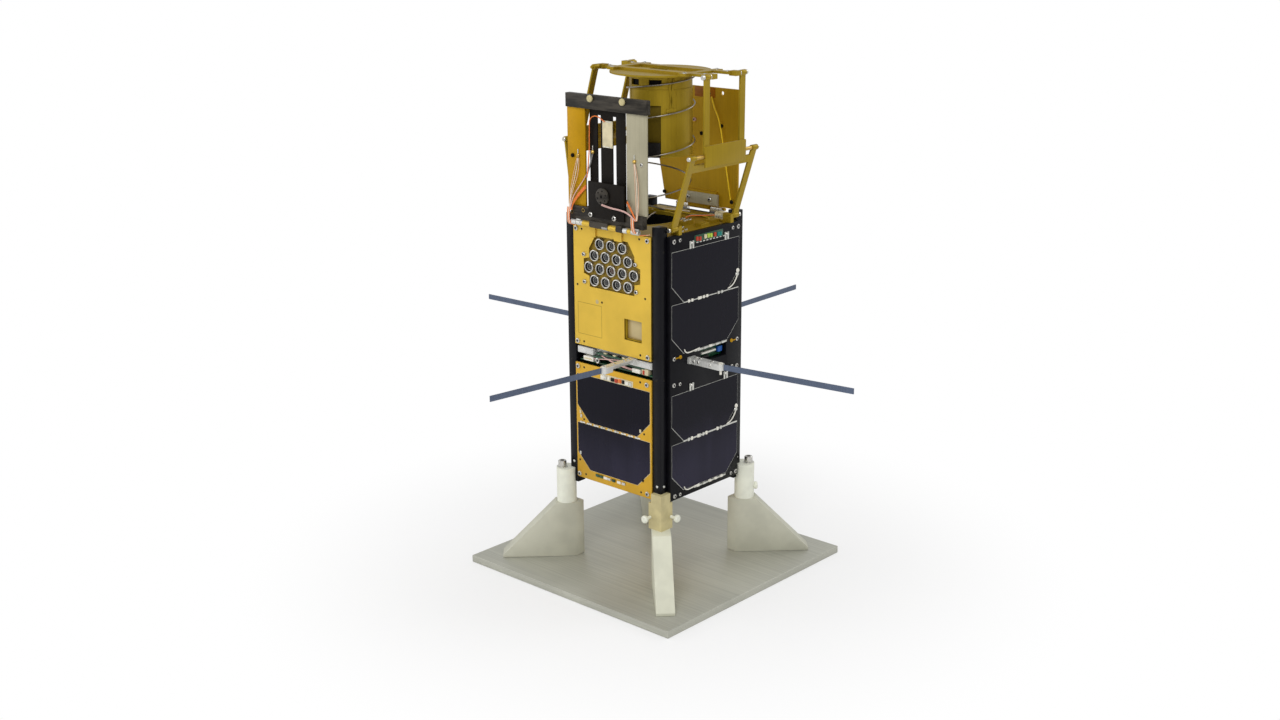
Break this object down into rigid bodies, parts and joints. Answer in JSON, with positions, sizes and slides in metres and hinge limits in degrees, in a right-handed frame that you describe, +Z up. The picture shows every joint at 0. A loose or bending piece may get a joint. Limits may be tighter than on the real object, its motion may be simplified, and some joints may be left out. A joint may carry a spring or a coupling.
{
  "type": "small cube-module satellite on a display stand",
  "caption": "Two-unit nanosatellite with solar panels, tape antennas and a deployable telescope head on folding links, clamped by its rails on a gusseted display stand.",
  "frame": {"origin": "centre of the underside of the square base plate, on the table", "axes": "+Z up along the rails; the sensor side faces -Y and the visible solar-panel side faces +X"},
  "size_m": [0.4137, 0.4171, 0.4137],
  "materials": {
    "anodised_black": "black anodised, satin",
    "gold_panel": "gold-toned chromate conversion, satin",
    "gold_mechanism": "olive gold, satin",
    "gold_strip": "amber plastic film over metal",
    "solar_board": "black board with dark cells, glossy",
    "board_green": "circuit board green",
    "brushed_plate": "fine brushed",
    "bare_metal": "bare, satin",
    "steel": "stainless",
    "printed_plastic": "pale grey-green printed plastic",
    "nylon": "natural nylon",
    "composite_dark": "carbon-fibre laminate",
    "steel_tape": "blue-grey spring steel"
  },
  "bodies": {
    "root": {"base_plate": "brushed_plate", "leg_front": "printed_plastic", "leg_right": "printed_plastic", "leg_back": "printed_plastic", "leg_left": "printed_plastic", "clamp_front": "nylon", "clamp_right": "nylon", "clamp_back": "nylon", "clamp_left": "nylon", "rail_front": "anodised_black", "rail_right": "anodised_black", "rail_back": "anodised_black", "rail_left": "anodised_black", "deck": "gold_panel", "floor_plate": "gold_panel", "sensor_panel": "gold_panel", "sensor_cans": "steel", "lower_gold_panel": "gold_panel", "solar_panel_b": "solar_board", "solar_panel_c": "solar_board", "solar_panel_d": "solar_board", "electronics_stack": "board_green", "antenna_frame": "bare_metal", "antenna_arms": "bare_metal", "antenna_tape_a": "steel_tape", "antenna_tape_b": "steel_tape", "antenna_tape_c": "steel_tape", "antenna_tape_d": "steel_tape", "deck_fittings": "gold_mechanism", "link_hinges": "steel", "spring": "steel", "front_panel_hinge": "steel", "back_panel_hinge": "steel"},
    "lower_link_b": {"lower_link_b": "gold_mechanism"},
    "upper_link_b": {"upper_link_b": "gold_mechanism"},
    "head": {"head_frame": "gold_mechanism", "optics_tube": "gold_mechanism"},
    "lower_link_d": {"lower_link_d": "gold_mechanism"},
    "upper_link_d": {"upper_link_d": "gold_mechanism"},
    "front_panel": {"front_panel_base_bar": "composite_dark", "front_panel_top_bar": "composite_dark", "front_panel_gold_strip": "gold_strip", "front_panel_silver_strip": "bare_metal", "front_panel_board": "composite_dark", "front_panel_plate": "composite_dark", "front_panel_disc": "composite_dark"},
    "back_panel": {"back_panel": "gold_mechanism"}
  },
  "joints": [
    {"name": "telescope_fold", "type": "hinge", "parent": "root", "child": "lower_link_b", "pos_m": [0.052, 0, 0.2965], "axis": [0, 1, 0], "range_deg": [0, 50.5], "stiffness_Nm_per_rad": 0.25, "springref_deg": -17.19, "deforming": ["spring"]},
    {"name": "knee_b", "type": "hinge", "parent": "lower_link_b", "child": "upper_link_b", "pos_m": [0.07057, 0, 0.3525], "axis": [0, 1, 0], "range_deg": [-134.6, 0]},
    {"name": "head_hinge", "type": "hinge", "parent": "upper_link_b", "child": "head", "pos_m": [0.071, 0, 0.4115], "axis": [0, 1, 0], "range_deg": [0, 84.1]},
    {"name": "link_d_fold", "type": "hinge", "parent": "root", "child": "lower_link_d", "pos_m": [-0.052, 0, 0.2965], "axis": [0, 1, 0], "range_deg": [-86.7, 0]},
    {"name": "knee_d", "type": "hinge", "parent": "lower_link_d", "child": "upper_link_d", "pos_m": [-0.05989, 0, 0.35497], "axis": [0, 1, 0], "range_deg": [0, 125.2]},
    {"name": "front_panel_fold", "type": "hinge", "parent": "root", "child": "front_panel", "pos_m": [0, -0.057, 0.2945], "axis": [1, 0, 0], "range_deg": [0, 180]},
    {"name": "back_panel_fold", "type": "hinge", "parent": "root", "child": "back_panel", "pos_m": [0, 0.057, 0.2945], "axis": [-1, 0, 0], "range_deg": [0, 180]}
  ],
  "couplings": [
    {"joint": "knee_b", "follows": "telescope_fold", "ratio": -2.656},
    {"joint": "head_hinge", "follows": "telescope_fold", "ratio": 1.656},
    {"joint": "link_d_fold", "follows": "telescope_fold", "ratio": -1.707},
    {"joint": "knee_d", "follows": "telescope_fold", "ratio": 2.469}
  ]
}
